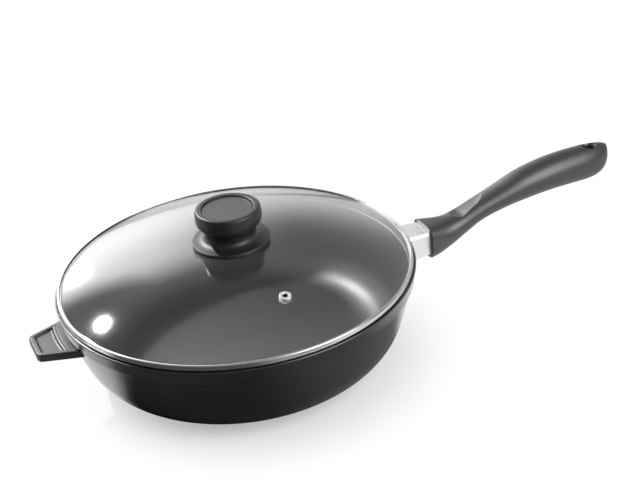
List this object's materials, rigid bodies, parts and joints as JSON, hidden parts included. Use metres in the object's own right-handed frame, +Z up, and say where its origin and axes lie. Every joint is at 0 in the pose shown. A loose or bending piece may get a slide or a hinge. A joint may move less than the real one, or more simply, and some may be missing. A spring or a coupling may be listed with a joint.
{
  "type": "saute pan with lid",
  "caption": "Deep round saute pan with a long S-shaped grip on a steel sleeve, a short helper handle, and a domed glass lid with a steel rim, a steam vent and a knob that lifts straight off.",
  "frame": {"origin": "centre of the pan's base, on the table", "axes": "+X along the long handle, +Z up, with the helper handle towards -X"},
  "size_m": [0.5201, 0.2876, 0.1308],
  "materials": {
    "coated_aluminium": "cast, with a satin charcoal non-stick coating inside and out",
    "satin_steel": "satin stainless sheet",
    "polished_steel": "bright rolled stainless",
    "plated_steel": "zinc plated",
    "phenolic_grip": "moulded phenolic, satin",
    "phenolic_knob": "moulded phenolic, semi-gloss",
    "phenolic_cap": "fine matt disc",
    "tempered_glass": "clear, tempered",
    "brass": "turned",
    "silicone": "moulded, matt"
  },
  "bodies": {
    "pan": {"pan_body": "coated_aluminium", "flame_guard": "satin_steel", "handle_grip": "phenolic_grip", "handle_screw": "plated_steel", "handle_lock_washer": "plated_steel"},
    "lid": {"lid_glass": "tempered_glass", "lid_rim_band": "polished_steel", "vent_eyelet": "polished_steel", "vent_washer": "plated_steel", "knob_body": "phenolic_knob", "knob_cap": "phenolic_cap", "knob_insert": "brass", "knob_screw": "plated_steel", "knob_washer": "plated_steel", "knob_seal_upper": "silicone", "knob_seal_lower": "silicone"}
  },
  "joints": [
    {"name": "lid_lift", "type": "slide", "parent": "pan", "child": "lid", "axis": [0, 0, 1], "range_m": [0, 0.15]}
  ]
}
